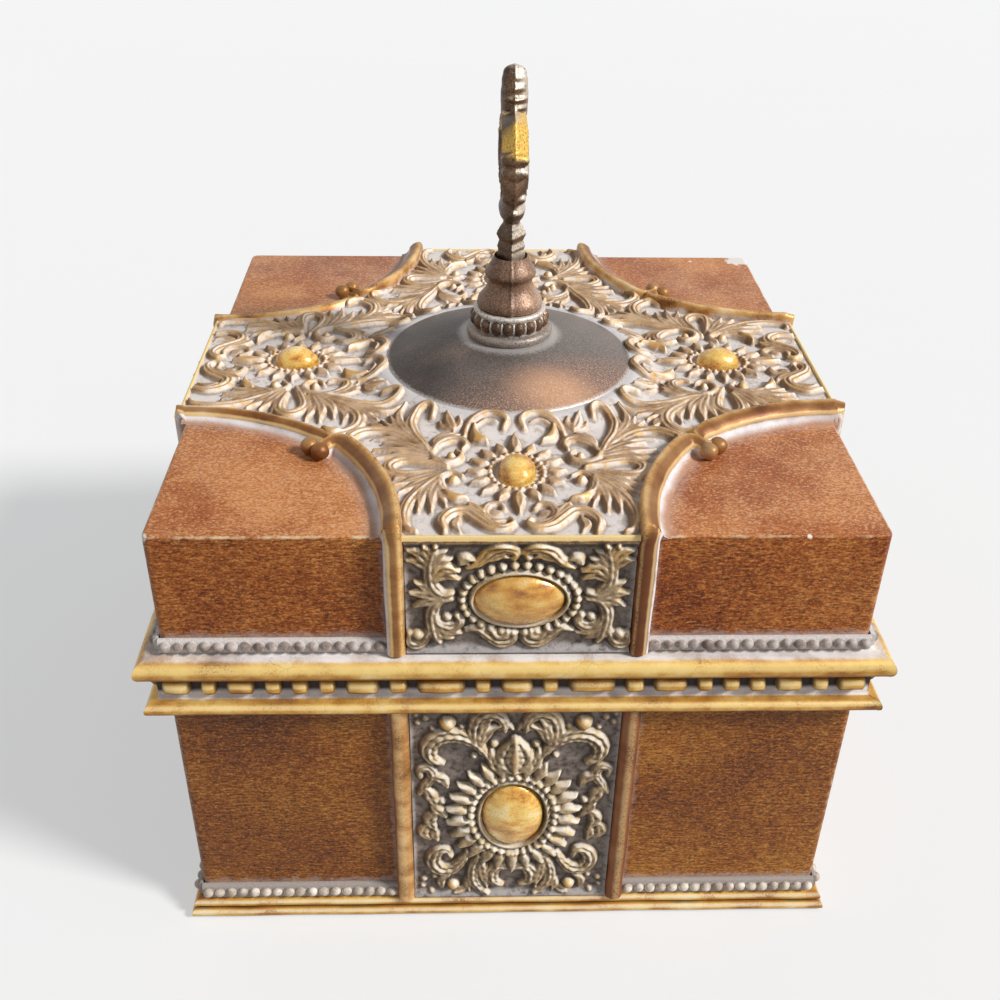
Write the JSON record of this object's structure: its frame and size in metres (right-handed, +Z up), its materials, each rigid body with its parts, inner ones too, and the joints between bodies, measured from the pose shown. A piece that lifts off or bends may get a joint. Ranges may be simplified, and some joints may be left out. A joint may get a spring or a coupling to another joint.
{
  "type": "lidded box",
  "caption": "Square wooden keepsake box with a lift-off lid, cast scrollwork panels, gilt mouldings, bead rows, a low dome and a pierced scroll handle.",
  "frame": {"origin": "middle of the underside, on the surface that the box stands on", "axes": "+Z up through the dome and handle, -Y to the front face in the picture, +X to its right"},
  "size_m": [0.1774, 0.1774, 0.2043],
  "materials": {
    "lid_wood": "red-brown crackled satin stain",
    "box_wood": "brown crackled satin stain",
    "plain_wood": "bare planed wood",
    "gilt": "cast composition, rubbed gilding over brown",
    "beads": "cast composition, bronze with a grey wash",
    "side_relief": "cast composition, dark bronze with a grey wash",
    "top_relief": "cast composition, pale bronze with a grey-white wash",
    "boss_gold": "cast composition, bright mottled gilding",
    "bronze": "aged dark bronze",
    "felt": "felt",
    "steel": "plain steel"
  },
  "bodies": {
    "box": {"box_wall_front": "box_wood", "box_wall_right": "box_wood", "box_wall_back": "box_wood", "box_wall_left": "box_wood", "box_floor": "plain_wood", "locating_lip_front": "plain_wood", "locating_lip_right": "plain_wood", "locating_lip_back": "plain_wood", "locating_lip_left": "plain_wood", "floor_lining": "felt", "base_felt": "felt", "plinth_front": "gilt", "plinth_right": "gilt", "plinth_back": "gilt", "plinth_left": "gilt", "box_rim_front": "gilt", "box_rim_right": "gilt", "box_rim_back": "gilt", "box_rim_left": "gilt", "bead_and_reel": "gilt", "box_strips": "gilt", "base_beads_front": "beads", "base_beads_right": "beads", "base_beads_back": "beads", "base_beads_left": "beads", "box_relief_front": "side_relief", "box_relief_right": "side_relief", "box_relief_back": "side_relief", "box_relief_left": "side_relief", "box_bosses": "boss_gold"},
    "lid": {"lid_board": "lid_wood", "lid_wall_front": "lid_wood", "lid_wall_right": "lid_wood", "lid_wall_back": "lid_wood", "lid_wall_left": "lid_wood", "lid_rim_front": "gilt", "lid_rim_right": "gilt", "lid_rim_back": "gilt", "lid_rim_left": "gilt", "lid_scroll_front": "gilt", "lid_scroll_right": "gilt", "lid_scroll_back": "gilt", "lid_scroll_left": "gilt", "lid_beads_front": "beads", "lid_beads_right": "beads", "lid_beads_back": "beads", "lid_beads_left": "beads", "lid_relief_front": "side_relief", "lid_relief_right": "side_relief", "lid_relief_back": "side_relief", "lid_relief_left": "side_relief", "lid_bosses": "boss_gold", "top_bosses": "boss_gold", "top_relief": "top_relief", "dome": "bronze", "beaded_collar": "bronze", "baluster": "bronze", "handle": "bronze", "handle_screw": "steel", "handle_washer": "steel"}
  },
  "joints": [
    {"name": "lid_lift", "type": "slide", "parent": "box", "child": "lid", "axis": [0, 0, 1], "range_m": [0, 0.12]}
  ]
}
